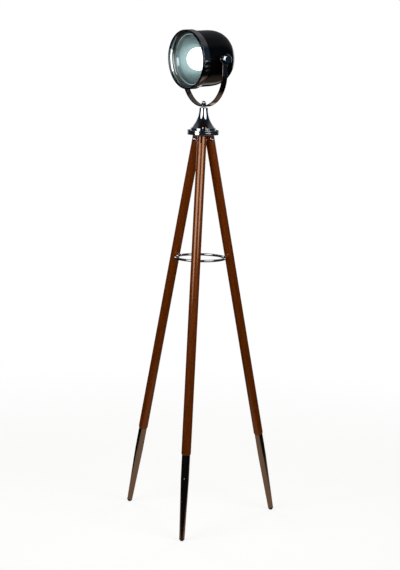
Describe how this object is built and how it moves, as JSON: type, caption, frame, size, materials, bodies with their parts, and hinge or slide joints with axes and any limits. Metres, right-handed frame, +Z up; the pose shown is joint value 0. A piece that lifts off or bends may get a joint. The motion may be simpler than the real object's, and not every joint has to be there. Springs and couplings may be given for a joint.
{
  "type": "tripod spotlight floor lamp",
  "caption": "Floor lamp: a black spotlight head with a chrome rim tilts in a swivelling yoke on a wooden tripod with a bell cap, brace ring and metal ferrules.",
  "frame": {"origin": "on the floor, in the middle of the rectangle that holds the three feet", "axes": "+Z up; at rest the lamp head aims along -Y, 3 degrees down, and the tilt axis lies along X"},
  "size_m": [0.48, 0.48, 1.5869],
  "materials": {
    "leg_wood": "stained and satin lacquered",
    "nickel": "polished nickel plate",
    "rubber": "matt",
    "black_enamel": "gloss",
    "yoke_nickel": "polished nickel plate",
    "lens_glass": "clear",
    "reflector_aluminium": "bright satin",
    "holder_ceramic": "glazed",
    "brass": "plain",
    "bulb_glass": "frosted",
    "black_plastic": "matt",
    "plated_steel": "zinc plated",
    "knob_chrome": "polished",
    "chrome": "polished"
  },
  "bodies": {
    "stand": {"bell_cap": "chrome", "brace_ring": "chrome", "centre_stud": "plated_steel", "ferrule_screws": "chrome", "front_ferrule": "nickel", "front_foot_tip": "rubber", "front_leg": "leg_wood", "hinge_bolts": "chrome", "hinge_nuts": "chrome", "hinge_washers": "chrome", "hub_screws": "plated_steel", "left_ferrule": "nickel", "left_foot_tip": "rubber", "left_leg": "leg_wood", "leg_hub": "chrome", "right_ferrule": "nickel", "right_foot_tip": "rubber", "right_leg": "leg_wood", "ring_screws": "chrome", "ring_sleeves": "chrome", "stud_nut": "plated_steel", "stud_washer": "plated_steel", "swivel_bush": "chrome", "swivel_cap_nut": "chrome", "swivel_washer": "chrome", "top_flange": "chrome"},
    "yoke": {"yoke": "yoke_nickel", "right_tilt_washer": "chrome", "left_tilt_washer": "chrome"},
    "head": {"bulb_cap": "plated_steel", "bulb_glass": "bulb_glass", "bulb_insulator": "black_plastic", "cable_gland": "black_plastic", "clamp_band": "chrome", "clamp_nut": "chrome", "clamp_screw": "chrome", "front_rim": "chrome", "gland_nipple": "brass", "holder_contact": "brass", "housing": "black_enamel", "lamp_holder": "holder_ceramic", "left_pivot_boss": "chrome", "left_pivot_nut": "plated_steel", "left_pivot_stud": "plated_steel", "lens": "lens_glass", "lens_gasket": "rubber", "nipple_nut": "brass", "reflector": "reflector_aluminium", "right_pivot_boss": "chrome", "right_pivot_nut": "plated_steel", "right_pivot_stud": "plated_steel"},
    "right_knob": {"right_knob": "knob_chrome"},
    "left_knob": {"left_knob": "knob_chrome"}
  },
  "joints": [
    {"name": "yoke_swivel", "type": "hinge", "parent": "stand", "child": "yoke", "pos_m": [0.03598, -0.03598, 1.3411], "axis": [0, 0, 1], "range_deg": [-170, 170]},
    {"name": "head_tilt", "type": "hinge", "parent": "yoke", "child": "head", "pos_m": [0.03598, -0.03598, 1.49618], "axis": [1, 0, 0], "range_deg": [-83, 77]},
    {"name": "right_knob_turn", "type": "hinge", "parent": "head", "child": "right_knob", "pos_m": [0.15098, -0.03598, 1.49618], "axis": [1, 0, 0], "range_deg": [0, 180]},
    {"name": "left_knob_turn", "type": "hinge", "parent": "head", "child": "left_knob", "pos_m": [-0.07902, -0.03598, 1.49618], "axis": [-1, 0, 0], "range_deg": [0, 180]}
  ]
}
